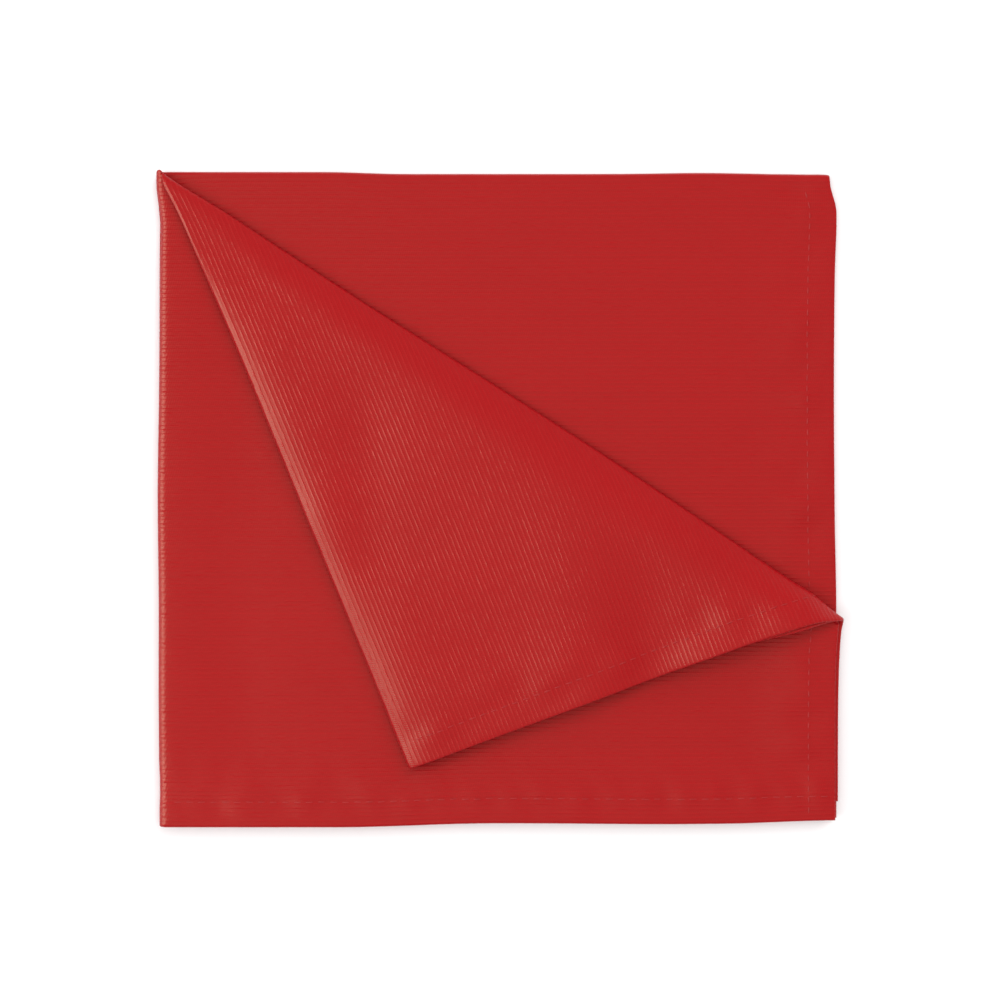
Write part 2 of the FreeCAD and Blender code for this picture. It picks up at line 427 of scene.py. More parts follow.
    def edge_drift(self, across: Array, along: Array, x: Array, y: Array) -> tuple[Array, Array]:
        """How far the loose edges have strayed from the square.

        Args:
            across, along: places on the flat cloth.
            x, y: distances to the right of and above the middle.

        Returns:
            The shifts along x and y.
        """
        side = ramp(np.abs(across), self.reach_across - self.edge_reach, self.reach_across)
        end = ramp(np.abs(along), self.reach_along - self.edge_reach, self.reach_along)
        upper = across > 0
        second = upper & (along < 0)
        height, length = self.fourth_wave
        fourth = np.where(along > 0, height * np.sin(y / length) - self.fourth_inset, 0.0)
        shift_x = side * np.where(upper, 0.0, self.side_wave.at(y) + fourth)
        left = 1.0 - ramp(np.abs(across), 0.0, self.fold_reach)
        shift_x = shift_x - left * self.left_wave.at(y)
        lift = np.where(second, self.second_lift.at(x), 0.0)
        lag = np.where(upper, 0.0, np.where(along > 0, self.fourth_lag, self.third_lag))
        shift_y = end * (self.bottom_wave.at(x) + lift + lag)
        top = 1.0 - ramp(np.abs(along), 0.0, self.fold_reach)
        return shift_x, shift_y + top * self.top_wave.at(x)

    def stray(self, across: Array, along: Array) -> Array:
        """How far the upper pair's side hems stand out, most where they go round the crease.

        Args:
            across, along: places on the flat cloth.

        Returns:
            The distances.
        """
        side = ramp(across, self.reach_across - self.stray_reach, self.reach_across)
        below = np.abs(along) - self.hem_crossing
        decay = np.exp(-np.clip(below, 0.0, None) / self.flare_reach)
        second = self.second_stray.at(below) + decay * self.second_flare.at(below)
        return side * np.where(along < 0, second, self.first_stray.at(below))

    def flat_place(self, across: Array, along: Array) -> tuple[Array, Array, Array]:
        """Places in the folded square before the corner is turned.

        Args:
            across, along: places on the flat cloth.

        Returns:
            The unrolled distance to the right, the distance up, and the ply's distance
            from the middle of its pair.
        """
        opening = self.opening(across, along)
        angle = np.clip(along / opening, -QUARTER, QUARTER)
        y = self.half_depth - self.thickness / 2 - opening * (1.0 - np.cos(angle))
        y = y - np.maximum(np.abs(along) - QUARTER * opening, 0.0)
        run = np.abs(across) - QUARTER * self.pair_bend + self.stray(across, along)
        return self.bend_place + run, y, opening * np.sin(angle)

    def unturned(self, across: Array, along: Array) -> Array:
        """Places of the cloth with nothing turned back.

        Args:
            across, along: places on the flat cloth.

        Returns:
            The points.
        """
        run, y, offset = self.flat_place(across, along)
        angle = np.clip(across / self.pair_bend, -QUARTER, QUARTER)
        out_x, out_z = -np.cos(angle), np.sin(angle)
        x = self.bend_place + self.pair_bend * out_x + np.maximum(run - self.bend_place, 0.0)
        z = self.pack_middle + self.pair_bend * out_z
        shift_x, shift_y = self.edge_drift(across, along, x, y)
        offset = offset * self.closeness(across, along, run, y)
        height = self.foot + (z + out_z * offset - self.foot) * self.settle(across, along)
        return np.stack([x + out_x * offset + shift_x, y + shift_y, height], -1)

    def roll_slope(self, forward: Array) -> Array:
        """How steeply the turned pair leaves its tight crease, in radians."""
        return np.radians(self.spring.at(forward))

    def roll_reach(self, forward: Array) -> Array:
        """How far in from the crease the soft roll has its crest."""
        growth = 1.0 - np.exp(-np.clip(forward, 1.0, None) / self.crest_growth)
        return np.maximum(self.crest_reach * growth * self.crest_swell.at(forward), self.crest_least)

    def fall(self, forward: Array, beyond: Array, top: Array) -> Array:
        """How far the turned pair has sunk past the crest of its roll.

        Args:
            forward: distance along the crease.
            beyond: distance past the crest.
            top: the crest's height.

        Returns:
            The heights.
        """
        width = np.clip(self.turned_spread * forward, self.crest_soft, self.turned_width)
        width = np.maximum(width - self.roll_reach(forward), self.least_width)
        soft = np.minimum(self.crest_soft, self.crest_soft_share * width)
        share = np.clip((np.sqrt(beyond**2 + soft**2) - soft) / width, 0.0, self.farthest)
        rest = self.turned_rest + self.drop_depth.at(forward)
        even = self.turned_even.at(forward)
        return (top - rest) * (even * share + (1.0 - even) * share**self.turned_power)

    def edge_drop(self, forward: Array, inward: Array, along: Array) -> Array:
        """How far the turned pair curves down to its folded edge."""
        near = np.exp(-np.abs(along) / self.drop_reach.at(forward))
        return ramp(inward, *self.drop_inward) * self.drop_depth.at(forward) * near

    def turned_waves(self, forward: Array, inward: Array, x: Array) -> Array:
        """The soft waves of the turned corner, which run up from its hemmed edge.

        Args:
            forward: distance along the crease.
            inward: distance in from the crease.
            x: distance to the right of the middle.

        Returns:
            The heights.
        """
        free = ramp(inward, *self.wave_inward) * ramp(forward, *self.wave_forward)
        height, wave = self.turned_ripple
        return free * (self.turned_wave.at(x) + height * ripple(forward, inward, 11, wave))

    def puff(self, forward: Array, inward: Array, along: Array) -> Array:
        """How much further the turned pair's under side stands off beside its fold.

        Args:
            forward: distance along the crease.
            inward: distance in from the crease.
            along: places along the flat cloth.

        Returns:
            A share of the space between the plies, 1 where nothing is puffed.
        """
        puff = ramp(inward, *self.puff_inward) * ramp(forward, *self.puff_forward) * self.puff_height
        near_fold = np.abs(along) / self.puff_reach
        return np.where(along < 0, 1.0 + puff * near_fold * np.exp(1.0 - near_fold), 1.0)

    def round_roll(self, forward: Array, past: Array) -> RollPlaces:
        """Leads the pair round its tight crease and over the soft roll.

        Args:
            forward: distance along the crease.
            past: distance past the crease on the cloth as it lay before it was turned.

        Returns:
            The places of the pair's middle.
        """
        gap = self.crease_gap(forward)
        skin = self.thickness - (self.thickness - self.pressed_thickness) * (1.0 - self.at_hems(forward))
        nose = gap + skin / 2 + self.pressed_room
        slack = self.ply_bend - gap
        leaving = self.roll_slope(forward)
        arc = self.roll_reach(forward) / np.sin(leaving)
        past = past + nose - slack
        angle = np.clip(past / nose, 0.0, math.pi - leaving)
        spare = np.maximum(past - nose * (math.pi - leaving), 0.0)
        bend = np.clip(leaving - spare / arc, 0.0, leaving)
        beyond = np.maximum(spare - arc * leaving, 0.0)
        inward = arc * (np.sin(leaving) - np.sin(bend)) + beyond
        out = nose * np.sin(angle) + np.minimum(past, 0.0) - nose + slack - inward
        crest = nose * (1.0 + np.cos(leaving)) + arc * (1.0 - np.cos(leaving))
        rise = nose * (1.0 - np.cos(angle)) + arc * (np.cos(bend) - np.cos(leaving))
        sunk = self.fall(forward, beyond, crest)
        step = 0.5
        slope = np.arctan((self.fall(forward, beyond + step, crest) - sunk) / step)
        slope = slope * ramp(beyond, 0.0, 2.0)
        lean = np.where(spare > 0, math.pi - bend + slope, angle)
        return RollPlaces(past, inward, out, rise - sunk, lean)

    def ground(self, x: Array, y: Array) -> Array:
        """The height of the middle of the upper pair where it lies still.

        Args:
            x, y: distances to the right of and above the middle.

        Returns:
            The heights.
        """
        across = np.clip(x - self.bend_place + QUARTER * self.pair_bend, 0.0, self.reach_across)
        along = np.clip(self.half_depth - y, 0.0, self.reach_along)
        return self.foot + (self.pair_middle - self.foot) * self.settle(across, along)

    def turned(self, across: Array, along: Array) -> tuple[Array, Array]:
        """Places of the upper pair with its corner turned back.

        Args:
            across, along: places on the flat cloth.

        Returns:
            The points, and how far each lies past the crease.
        """
        run, y, offset = self.flat_place(across, along)
        offset = offset * self.closeness(across, along, run, y)
        forward, past = self.crease_places(run, y)
        roll = self.round_roll(forward, past)
        slid = forward - roll.inward * self.turned_slide
        x, _ = self.from_crease(slid, roll.out)
        rise = roll.rise - self.edge_drop(forward, roll.inward, along)
        rise = rise + self.turned_waves(forward, roll.inward, x)
        offset = offset * self.settle(across, along) * self.puff(slid, roll.inward, along)
        bowed = self.bow.at(slid) * ramp(roll.past, -self.bow_before, 0.0)
        bowed = bowed * (1.0 - ramp(roll.inward, *self.bow_inward))
        x, y = self.from_crease(slid, roll.out + bowed - np.sin(roll.lean) * offset)
        height = self.ground(x, y) + rise + np.cos(roll.lean) * offset
        return np.stack([x, y, height], -1), roll.past

    def centre(self, across: Array, along: Array) -> Array:
        """The middle of the cloth's thickness at places on the flat cloth.

        Args:
            across, along: places on the flat cloth.

        Returns:
            The points.
        """
        across, along = np.broadcast_arrays(across, along)
        flat = self.unturned(across, along)
        turned, past = self.turned(across, along)
        into = ramp(across, *self.turn_ramp) * (past > 0)
        shift = flat - self.plain(across, along)
        turned = turned + shift * (1.0 - ramp(past, 0.0, self.drift_end))[..., None]
        points = flat + (turned - flat) * into[..., None]
        ear = np.exp(-((across - self.ear_place) ** 2 + along**2) / self.ear_reach**2)
        ear = ear * ramp(across, -self.ear_place, 1.0)
        from_side, from_crossing = self.reach_across - across, np.abs(along) - self.hem_crossing
        side_reach, crossing_reach = self.crossing_size
        sink = hump(from_side, 0.0, side_reach) * hump(from_crossing, 0.0, crossing_reach)
        shift_x, shift_y = self.ear_shift
        points[..., 0] += shift_x * ear
        points[..., 1] += shift_y * ear - self.crossing_sink * sink * (across > 0)
        return points

    def plain(self, across: Array, along: Array) -> Array:
        """Places like those of unturned, without the drift of the edges.

        Args:
            across, along: places on the flat cloth.

        Returns:
            The points.
        """
        points = self.unturned(across, along)
        run, y, _ = self.flat_place(across, along)
        x = np.maximum(run, self.bend_place)
        shift_x, shift_y = self.edge_drift(across, along, x, y)
        points[..., 0] -= shift_x
        points[..., 1] -= shift_y
        return points

    def outward(self, across: Array, along: Array) -> Array:
        """The direction out of the cloth's face.

        Args:
            across, along: places on the flat cloth.

        Returns:
            Unit vectors.
        """
        step = 0.12
        by_across = self.centre(across + step, along) - self.centre(across - step, along)
        by_along = self.centre(across, along + step) - self.centre(across, along - step)
        normal = np.cross(by_along, by_across)
        return normal / np.maximum(np.linalg.norm(normal, axis=-1, keepdims=True), 1e-9)

    def surface(self, across: Array, along: Array, side: Side) -> Array:
        """Points on one side of the cloth, with its hems and rounded edges.

        Args:
            across, along: places on the flat cloth.
            side: the face or the back.

        Returns:
            The points.
        """
        across, along = np.broadcast_arrays(across, along)
        to_side = self.reach_across - np.abs(across)
        to_end = self.reach_along - np.abs(along)
        step = self.hem_step
        in_side_hem = 1.0 - ramp(to_side, self.side_hem - step, self.side_hem + step)
        in_end_hem = 1.0 - ramp(to_end, self.end_hem - step, self.end_hem + step)
        hemmed = np.maximum(in_side_hem, in_end_hem)
        cloth = self.pressed(across, along)
        thick = cloth + (self.hem - cloth) * hemmed
        nose = self.hem / 2
        round_side = np.sqrt(1.0 - (1.0 - np.clip(to_side / nose, 0.0, 1.0)) ** 2)
        round_end = np.sqrt(1.0 - (1.0 - np.clip(to_end / nose, 0.0, 1.0)) ** 2)
        middle = self.thickness / 2 - thick / 2
        distance = middle + side.value * thick / 2 * round_side * round_end
        distance = distance + self.puckers(across, along) * ~self.lowest(across, along)
        return self.centre(across, along) + self.outward(across, along) * distance[..., None]

    def lowest(self, across: Array, along: Array) -> Array:
        """Where the cloth is the lowest ply, which lies flat on the table."""
        return (across < 0) & (along > 0)

    def puckers(self, across: Array, along: Array) -> Array:
        """How far the sewing draws the cloth up and down beside the hems' stitches.

        Args:
            across, along: places on the flat cloth.

        Returns:
            The heights.
        """
        to_side = self.reach_across - np.abs(across)
        to_end = self.reach_along - np.abs(along)
        by_side = ripple(along, self.pucker_stretch * to_side, 21, self.pucker_wave)
        by_end = ripple(across, self.pucker_stretch * to_end, 23, self.pucker_wave)
        beside = self.pucker_inward * ramp(to_side, self.pucker_side_end, self.side_hem)
        beside = beside + hump(to_side, self.side_hem + 1.0, self.pucker_reach)
        above = self.pucker_inward * ramp(to_end, self.pucker_low_end, self.end_hem)
        above = above + hump(to_end, self.end_hem + 1.0, self.pucker_reach)
        inside = ramp(to_side, 0.0, self.pucker_start) * ramp(to_end, 0.0, self.pucker_start)
        return self.pucker * inside * (by_side * beside + by_end * above)

    def rim(self, edge: float) -> Array:
        """The mesh's lines on the rounded edge of a hem."""
        return edge - self.hem / 2 * (1.0 - np.cos(np.linspace(QUARTER, 0.0, self.rim_lines)))

    def columns(self) -> Array:
        """Where the mesh has its lines across the cloth.

        Returns:
            The places, from left to right.
        """
        edge = self.reach_across
        step = edge - self.side_hem
        stops = (0.0, QUARTER * self.pair_bend, self.near_fold, edge - self.near_hem,
                 step - self.step_margin, step + self.step_margin, edge - self.hem / 2)
        parts = [spread(*span) for span in zip(stops, stops[1:], self.column_steps)]
        half = np.concatenate([*parts, self.rim(edge)])
        return np.concatenate([-half[:0:-1], half])

    def rows(self, across: Array) -> Array:
        """Places along the cloth where the mesh has a line, which follow the crease.

        Args:
            across: the mesh's lines across the cloth.

        Returns:
            One row of places for each line across, from the bottom ply's end to end.
        """
        bend = QUARTER * self.ply_bend
        start_x, start_y = self.crease_start
        run = self.bend_place + np.abs(across) - QUARTER * self.pair_bend - start_x
        crease = self.nose_place - start_y + run * math.tan(self.crease_fall) + bend
        crease = np.maximum(crease + self.crease_margin, self.crease_least)
        least, growth, reach = self.crease_band
        band = least + growth * np.clip(np.abs(across) / reach, 0.0, 1.0)
        inner = np.maximum(crease - band, bend + 1.0)
        step = self.reach_along - self.end_hem
        stops = np.broadcast_arrays(0.0, bend, inner, crease, step - self.step_margin,
                                    step + self.step_margin, self.reach_along - self.hem / 2)
        parts = [
            start[:, None] + (end - start)[:, None] * np.linspace(0.0, 1.0, count, endpoint=False)
            for start, end, count in zip(stops, stops[1:], self.row_counts)
        ]
        parts.append(np.broadcast_to(self.rim(self.reach_along), (len(across), self.rim_lines)))
        half = np.concatenate(parts, axis=1)
        return np.concatenate([-half[:, :0:-1], half], axis=1)

    def build(self) -> bpy.types.Object:
        """Makes the cloth's closed mesh.

        Returns:
            The napkin's object, with each point's place on the flat cloth as an attribute.
        """
        lines = self.columns()
        along = self.rows(lines)
        across = np.broadcast_to(lines[:, None], along.shape)
        many, few = along.shape
        face = self.surface(across, along, Side.FACE)
        back = self.surface(across, along, Side.BACK)
        inner = (slice(1, -1), slice(1, -1))
        numbers = np.arange(many * few).reshape(many, few)
        under = numbers.copy()
        under[inner] = many * few + np.arange((many - 2) * (few - 2)).reshape(many - 2, few - 2)
        points = np.concatenate([face.reshape(-1, 3), back[inner].reshape(-1, 3)]) * MM
        places = np.stack([across, along, np.ones(along.shape)], -1)
        under_places = places[inner] * np.array([1.0, 1.0, -1.0])
        places = np.concatenate([places.reshape(-1, 3), under_places.reshape(-1, 3)])
        top = np.stack([numbers[:-1, :-1], numbers[:-1, 1:], numbers[1:, 1:], numbers[1:, :-1]], -1)
        low = np.stack([under[:-1, :-1], under[1:, :-1], under[1:, 1:], under[:-1, 1:]], -1)
        faces = np.concatenate([top.reshape(-1, 4), low.reshape(-1, 4)]).tolist()
        return mesh_piece("napkin_cloth", points, faces, places * MM)

    def dress(self, piece: bpy.types.Object, finish: "RibbedWeave") -> None:
        """Gives the cloth its finish."""
        piece.data.materials.append(finish.make("ribbed_cloth"))


def add_object(name: str, data: bpy.types.ID) -> bpy.types.Object:
    """Adds an object to the scene.

    Args:
        name: the object's name.
        data: its mesh, lamp or camera.

    Returns:
        The object.
    """
    added = bpy.data.objects.new(name, data)
    bpy.context.scene.collection.objects.link(added)
    return added


def mesh_piece(
    name: str, points: Array, faces: list[list[int]], places: Array | None = None
) -> bpy.types.Object:
    """Makes a smooth mesh object at the origin.

    Args:
        name: the piece's name.
        points: its corners in metres.
        faces: the corners' numbers, a row for each face.
        places: each corner's place on the flat cloth in metres, where a finish needs it.

    Returns:
        The object, linked to the scene.
    """
    mesh = bpy.data.meshes.new(name)
    mesh.from_pydata(points.tolist(), [], faces)
    mesh.update()
    if places is not None:
        layer = mesh.attributes.new(CLOTH_PLACE, "FLOAT_VECTOR", "POINT")
        layer.data.foreach_set("vector", places.astype(np.float32).ravel())
    mesh.polygons.foreach_set("use_smooth", np.ones(len(mesh.polygons), bool))
    return add_object(name, mesh)


@dataclass
class HemStitching:
    """The sewing thread that shows on the face side of the four hems."""

    cloth: FoldedCloth
    side_pitch: float = 4.1
    end_pitch: float = 4.5
    stitch_share: float = 0.7
    thread: float = 0.45
    side_line: float = 10.2
    end_line: float = 9.4
    end_room: float = 1.5
    unevenness: float = 0.08
    arch: float = 0.55
    sunk: float = 0.35
    pinch: float = 0.4
    rings: int = 6
    sides: int = 5

    def stitch_ends(self, length: float, pitch: float) -> Array:
        """Where the stitches of one seam begin and end.

        Args:
            length: the seam's half length.
            pitch: the distance from stitch to stitch.

        Returns:
            Two places for each stitch, with none at the fold in the seam's middle.
        """
        count = int(2.0 * length / pitch)
        middles = (np.arange(count) - (count - 1) / 2.0) * pitch
        middles = middles[np.abs(middles) > pitch]
        half = pitch * self.stitch_share / 2.0
        return np.stack([middles - half, middles + half], -1)

    def seams(self) -> list[tuple[Array, Array]]:
        """The ends of every stitch, seam by seam.

        Returns:
            For each seam, the places of its stitches' ends across and along the cloth.
        """
        draw = np.random.default_rng(4)
        width, depth = self.cloth.reach_across, self.cloth.reach_along
        found = []
        for sign in (-1.0, 1.0):
            ends = self.stitch_ends(depth - self.end_room, self.side_pitch)
            line = sign * (width - self.side_line + draw.normal(0.0, self.unevenness, ends.shape))
            found.append((line, ends))
            ends = self.stitch_ends(width - self.end_room, self.end_pitch)
            line = sign * (depth - self.end_line + draw.normal(0.0, self.unevenness, ends.shape))
            found.append((ends, line))
        return found

    def stitch_rings(self, across: Array, along: Array) -> Array:
        """The rings of points around the stitches of one seam.

        Args:
            across, along: two places on the cloth for each stitch.

        Returns:
            Points by stitch, ring and side, with x, y and z last.
        """
        share = np.linspace(0.0, 1.0, self.rings)
        line_across = across[:, :1] + (across[:, 1:] - across[:, :1]) * share
        line_along = along[:, :1] + (along[:, 1:] - along[:, :1]) * share
        base = self.cloth.surface(line_across, line_along, Side.FACE)
        out = self.cloth.outward(line_across, line_along)
        ahead = np.gradient(base, axis=1)
        ahead = ahead / np.linalg.norm(ahead, axis=-1, keepdims=True)
        beside = np.cross(out, ahead)
        arch = np.sin(math.pi * share)
        swell = self.thread / 2.0 * (self.pinch + (1.0 - self.pinch) * np.sqrt(arch))
        rise = self.thread * (self.arch * arch - self.sunk)
        turn = 2.0 * math.pi * np.arange(self.sides) / self.sides
        up = rise[:, None] + swell[:, None] * np.sin(turn)
        over = swell[:, None] * np.cos(turn)
        off = out[:, :, None] * up[None, :, :, None] + beside[:, :, None] * over[None, :, :, None]
        return base[:, :, None] + off

    def build(self) -> bpy.types.Object:
        """Makes all the stitches as one piece.

        Returns:
            The stitching's object.
        """
        stitches = np.concatenate([self.stitch_rings(*seam) for seam in self.seams()])
        numbers = np.arange(stitches[..., 0].size).reshape(stitches.shape[:3])
        around = np.roll(numbers, -1, axis=2)
        skin = np.stack([numbers[:, :-1], numbers[:, 1:], around[:, 1:], around[:, :-1]], -1)
        faces = skin.reshape(-1, 4).tolist()
        faces += numbers[:, 0].tolist()
        faces += numbers[:, -1, ::-1].tolist()
        points = np.maximum(stitches.reshape(-1, 3), [-np.inf, -np.inf, 0.0])
        return mesh_piece("hem_stitching", points * MM, faces)

    def dress(self, piece: bpy.types.Object, finish: "SewingThread") -> None:
        """Gives the thread its finish."""
        piece.data.materials.append(finish.make("sewing_thread"))


class Recipe:
    """The nodes of one material, added and joined by short calls."""

    def __init__(self, name: str) -> None:
        """Starts a material with a plain surface shader."""
        self.material = bpy.data.materials.new(name)
        self.material.use_nodes = True
        self.tree = self.material.node_tree
        self.shader = self.tree.nodes["Principled BSDF"]

    def node(self, kind: str, **settings: object) -> bpy.types.ShaderNode:
        """Adds a node.

        Args:
            kind: the node's type, such as Math.
            settings: its properties and their values.

        Returns:
            The node.
        """
        node = self.tree.nodes.new("ShaderNode" + kind)
        for key, value in settings.items():
            setattr(node, key, value)
        return node

    def join(self, source: object, target: Socket) -> None:
        """Feeds a socket.

        Args:
            source: another socket, or a value to set.
            target: the socket that takes it.
        """
        if isinstance(source, Socket):
            self.tree.links.new(source, target)
        else:
            target.default_value = source

    def maths(self, operation: str, *values: object) -> Socket:
        """Adds a sum on one or more values.

        Args:
            operation: the name of the sum, such as SINE or MULTIPLY.
            values: numbers or sockets.

        Returns:
            The result's socket.
        """
        node = self.node("Math", operation=operation)
        for value, target in zip(values, node.inputs):
            self.join(value, target)
        return node.outputs[0]

    def coat(self, colour: object, roughness: float, gloss: float) -> None:
        """Sets the shader's colour, roughness and gloss."""
        for name, value in zip(COAT_SOCKETS, (colour, roughness, gloss)):
            self.join(value, self.shader.inputs[name])

    def wave(self, turn: object) -> Socket:
        """Adds a wave from 0 to 1, whose turn is given in radians."""
        return self.maths("MULTIPLY_ADD", self.maths("SINE", turn), 0.5, 0.5)

    def noise(self, place: object, size: Triple, detail: float) -> object:
        """Adds noise whose blobs have a given size.

        Args:
            place: the socket of the places.
            size: the blobs' lengths in metres.
            detail: how many finer layers it has.

        Returns:
            The socket of the noise, from 0 to 1.
        """
        mapping = self.node("Mapping")
        mapping.inputs["Scale"].default_value = tuple(1.0 / length for length in size)
        self.join(place, mapping.inputs["Vector"])
        noise = self.node("TexNoise")
        noise.inputs["Scale"].default_value = 1.0
        noise.inputs["Detail"].default_value = detail
        self.join(mapping.outputs["Vector"], noise.inputs["Vector"])
        return noise.outputs["Fac"]

    def between(self, share: object, first: tuple, second: tuple) -> Socket:
        """Adds a mix of two colours.

        Args:
            share: the socket of the second colour's share.
            first: the colour at 0.
            second: the colour at 1.

        Returns:
            The mixed colour's socket.
        """
        mix = self.node("Mix", data_type="RGBA")
        self.join(share, mix.inputs["Factor"])
        mix.inputs[6].default_value = (*first, 1.0)
        mix.inputs[7].default_value = (*second, 1.0)
        return mix.outputs[2]


@dataclass(frozen=True)
class RibbedWeave:
    """Matt red cloth whose ribs run across it, crossed by finer yarns, with painted highlights on the
    rib and yarn crests and painted shade in the grooves.
    """

    # Painted light: the groove colour is the red with painted shade and the crest colour the red with a
    # painted highlight; the patches add random tone
    groove_painted_shade: Triple = (0.325, 0.002, 0.006)
    crest: Triple = (0.405, 0.005, 0.009)
    rib_pitch: float = 1.6
    yarn_pitch: float = 0.84
    rib_height: float = 0.12
    rib_sharpness: float = 3.0
    rib_wander: float = 1.2
    every_other: float = 0.035
    yarn_height: float = 0.028
    slub_gain: Triple = (1.8, -0.25, 0.1)
    stray_size: Triple = (0.03, 0.004, 0.01)
    slub_size: Triple = (0.0045, 0.0007, 0.01)
    patch_size: Triple = (0.05, 0.03, 0.05)
    rib_painted_light: float = 0.55
    yarn_painted_light: float = 0.2
    patch_shade: float = 0.3
    roughness: float = 0.37
    gloss: float = 0.225
    gloss_tint: Triple = (0.95, 1.0, 0.72)

    def ribs(self, recipe: Recipe, place: object, turn: object) -> Socket:
        """Adds the height of the ribs, which the slubs in their yarn make uneven.

        Args:
            recipe: the material.
            place: the socket of the places on the flat cloth.
            turn: the socket of the ribs' turn, a full one from rib to rib.

        Returns:
            The socket of the height, from 0 to about 1.
        """
        gain, level, least = self.slub_gain
        slub = recipe.noise(place, self.slub_size, 3.0)
        strong = recipe.maths("MAXIMUM", recipe.maths("MULTIPLY_ADD", slub, gain, level), least)
        rib = recipe.maths("POWER", recipe.wave(turn), self.rib_sharpness)
        every_other = recipe.maths("SINE", recipe.maths("MULTIPLY", turn, 0.5))
        raised = recipe.maths("MULTIPLY", rib, strong)
        return recipe.maths("MULTIPLY_ADD", every_other, self.every_other, raised)

    def make(self, name: str) -> bpy.types.Material:
        """Builds the material.

        Args:
            name: its name.

        Returns:
            The material.
        """
        recipe = Recipe(name)
        place = recipe.node("Attribute", attribute_name=CLOTH_PLACE).outputs["Vector"]
        parts = recipe.node("SeparateXYZ")
        recipe.join(place, parts.inputs[0])
        stray = recipe.noise(place, self.stray_size, 1.0)
        wander = recipe.maths("MULTIPLY", stray, self.rib_wander)
        rib_turns = 2.0 * math.pi / (self.rib_pitch * MM)
        yarn_turns = 2.0 * math.pi / (self.yarn_pitch * MM)
        turn = recipe.maths("MULTIPLY_ADD", parts.outputs["Y"], rib_turns, wander)
        half = recipe.maths("MULTIPLY", turn, 0.5)
        yarn = recipe.wave(recipe.maths("MULTIPLY_ADD", parts.outputs["X"], yarn_turns, half))
        raised = self.ribs(recipe, place, turn)
        height = recipe.maths("MULTIPLY", raised, self.rib_height * MM)
        height = recipe.maths("MULTIPLY_ADD", yarn, self.yarn_height * MM, height)
        bump = recipe.node("Bump")
        bump.inputs["Strength"].default_value = 1.0
        bump.inputs["Distance"].default_value = 1.0
        recipe.join(height, bump.inputs["Height"])
        recipe.join(bump.outputs["Normal"], recipe.shader.inputs["Normal"])
        patch = recipe.noise(place, self.patch_size, 2.0)
        # Painted light: the colour is lighter on the rib and yarn crests and darker in the grooves,
        # following the bump's height, plus random patches of tone
        shade = recipe.maths("MULTIPLY", yarn, self.yarn_painted_light)
        shade = recipe.maths("MULTIPLY_ADD", raised, self.rib_painted_light, shade)
        shade = recipe.maths("MULTIPLY_ADD", patch, self.patch_shade, shade)
        colour = recipe.between(shade, self.groove_painted_shade, self.crest)
        recipe.coat(colour, self.roughness, self.gloss)
        recipe.shader.inputs["Specular Tint"].default_value = (*self.gloss_tint, 1.0)
        return recipe.material


@dataclass(frozen=True)
class SewingThread:
    """Twisted red thread, a little lighter than the cloth."""

    colour: Triple = (0.44, 0.03, 0.028)
    dark: Triple = (0.34, 0.012, 0.014)
    roughness: float = 0.6
    gloss: float = 0.25
    strand_size: float = 0.0004

    def make(self, name: str) -> bpy.types.Material:
        """Builds the material.

        Args:
            name: its name.

        Returns:
            The material.
        """
        recipe = Recipe(name)
        place = recipe.node("TexCoord").outputs["Object"]
        strand = recipe.noise(place, (self.strand_size,) * 3, 2.0)
        recipe.coat(recipe.between(strand, self.dark, self.colour), self.roughness, self.gloss)
        return recipe.material


class Gives(Enum):
    """What the light of a lamp shows as on the cloth."""

    ALL = "shade and sheen"
    SHADE = "shade"
    SHEEN = "sheen"


@dataclass(frozen=True)
class Lamp:
    """A large soft lamp aimed at the napkin. Its place and size are in metres."""

    name: str
    place: Triple
    size: Pair
    power: float
    gives: Gives = Gives.ALL

    def make(self) -> None:
        """Adds the lamp."""
        data = bpy.data.lights.new(self.name, "AREA")
        data.shape = "RECTANGLE"
        data.size, data.size_y = self.size
        data.energy = self.power
        lamp = add_object(self.name, data)
        lamp.location = self.place
        lamp.rotation_euler = (-Vector(self.place)).to_track_quat("-Z", "Y").to_euler()
        lamp.visible_diffuse = self.gives is not Gives.SHEEN
        lamp.visible_glossy = self.gives is not Gives.SHADE


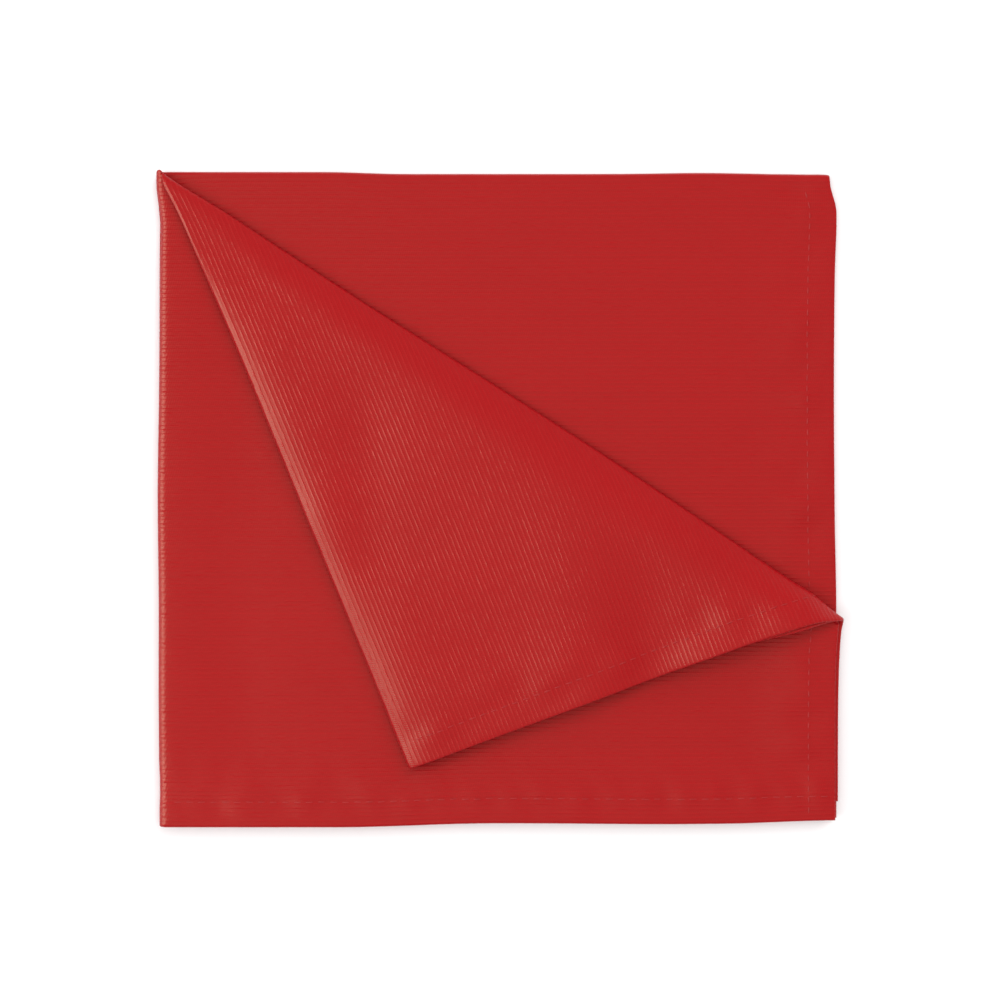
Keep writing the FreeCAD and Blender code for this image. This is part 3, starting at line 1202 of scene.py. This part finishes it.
@dataclass
class Studio:
    """A plain floor, soft light mostly from the left, and a camera that looks straight down."""

    picture_pixels: int = 1000
    pixel_size: float = 0.376
    middle_pixel: Pair = (497.5, 498.0)
    lens: float = 100.0
    sensor: float = 36.0
    clip: Pair = (0.05, 50.0)
    subject_height: float = 4.5
    floor_size: float = 40.0
    floor_shade: float = 0.97
    floor_roughness: float = 0.9
    horizon: float = 1.25
    sky: float = 0.35
    sky_fade: Pair = (0.12, 0.4)
    overhead_power: float = 1.53
    overhead_spread: float = 80.0
    lamps: tuple[Lamp, ...] = (
        Lamp("left_light", (-2.0, -0.2, 1.3), (1.3, 1.3), 21.0),
        Lamp("left_glow", (-1.95, -0.15, 1.3), (1.6, 2.2), 74.0, Gives.SHEEN),
        Lamp("right_light", (1.3, 1.9, 1.7), (1.6, 1.6), 30.0, Gives.SHADE),
    )

    def make_camera(self) -> None:
        """Places the camera so that the photograph's scale and middle are met."""
        data = bpy.data.cameras.new("camera")
        data.lens = self.lens
        data.sensor_width = self.sensor
        data.clip_start, data.clip_end = self.clip
        camera = add_object("camera", data)
        half = self.picture_pixels / 2
        across = (half - self.middle_pixel[0]) * self.pixel_size * MM
        up = (self.middle_pixel[1] - half) * self.pixel_size * MM
        far = self.pixel_size * self.picture_pixels * MM * self.lens / self.sensor
        camera.location = (across, up, far + self.subject_height * MM)
        camera.rotation_euler = (0.0, 0.0, 0.0)
        bpy.context.scene.camera = camera

    def make_floor(self) -> None:
        """Adds the pale floor that the napkin lies on."""
        half = self.floor_size / 2
        corners = [(-half, -half, 0.0), (half, -half, 0.0), (half, half, 0.0), (-half, half, 0.0)]
        mesh = bpy.data.meshes.new("floor")
        mesh.from_pydata(corners, [], [(0, 1, 2, 3)])
        floor = add_object("floor", mesh)
        recipe = Recipe("pale_floor")
        recipe.coat((*[self.floor_shade] * 3, 1.0), self.floor_roughness, 0.0)
        mesh.materials.append(recipe.material)

    def make_surround(self) -> None:
        """Adds the light from all round, which is brightest near the horizon."""
        world = bpy.data.worlds.new("soft_surround")
        world.use_nodes = True
        tree = world.node_tree
        place = tree.nodes.new("ShaderNodeTexCoord")
        parts = tree.nodes.new("ShaderNodeSeparateXYZ")
        fade = tree.nodes.new("ShaderNodeMapRange")
        fade.inputs["From Min"].default_value, fade.inputs["From Max"].default_value = self.sky_fade
        fade.inputs["To Min"].default_value = self.horizon
        fade.inputs["To Max"].default_value = self.sky
        tree.links.new(place.outputs["Generated"], parts.inputs[0])
        tree.links.new(parts.outputs["Z"], fade.inputs["Value"])
        background = tree.nodes["Background"]
        background.inputs["Color"].default_value = (1.0, 1.0, 1.0, 1.0)
        tree.links.new(fade.outputs["Result"], background.inputs["Strength"])
        bpy.context.scene.world = world

    def make_light(self) -> None:
        """Adds the lamps and the wide light from overhead."""
        for lamp in self.lamps:
            lamp.make()
        data = bpy.data.lights.new("overhead", "SUN")
        data.energy = self.overhead_power
        data.angle = math.radians(self.overhead_spread)
        add_object("overhead", data).visible_glossy = False
        bpy.context.scene.view_settings.view_transform = "Standard"


def main() -> None:
    """Builds the studio and the napkin, and reports each piece."""
    logging.basicConfig(level=logging.INFO, format="%(name)s: %(message)s")
    studio = Studio()
    studio.make_camera()
    studio.make_floor()
    studio.make_surround()
    studio.make_light()

    cloth = FoldedCloth.from_frame(NAPKIN_NODE)
    napkin = cloth.build()
    cloth.dress(napkin, RibbedWeave())
    log.info("cloth with %d faces", len(napkin.data.polygons))

    stitching = HemStitching(cloth)
    thread = stitching.build()
    stitching.dress(thread, SewingThread())
    log.info("stitching with %d faces", len(thread.data.polygons))

    for piece in (napkin, thread):
        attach(piece, "root")
    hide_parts(NAPKIN_NODE)


if __name__ == "__main__":
    main()
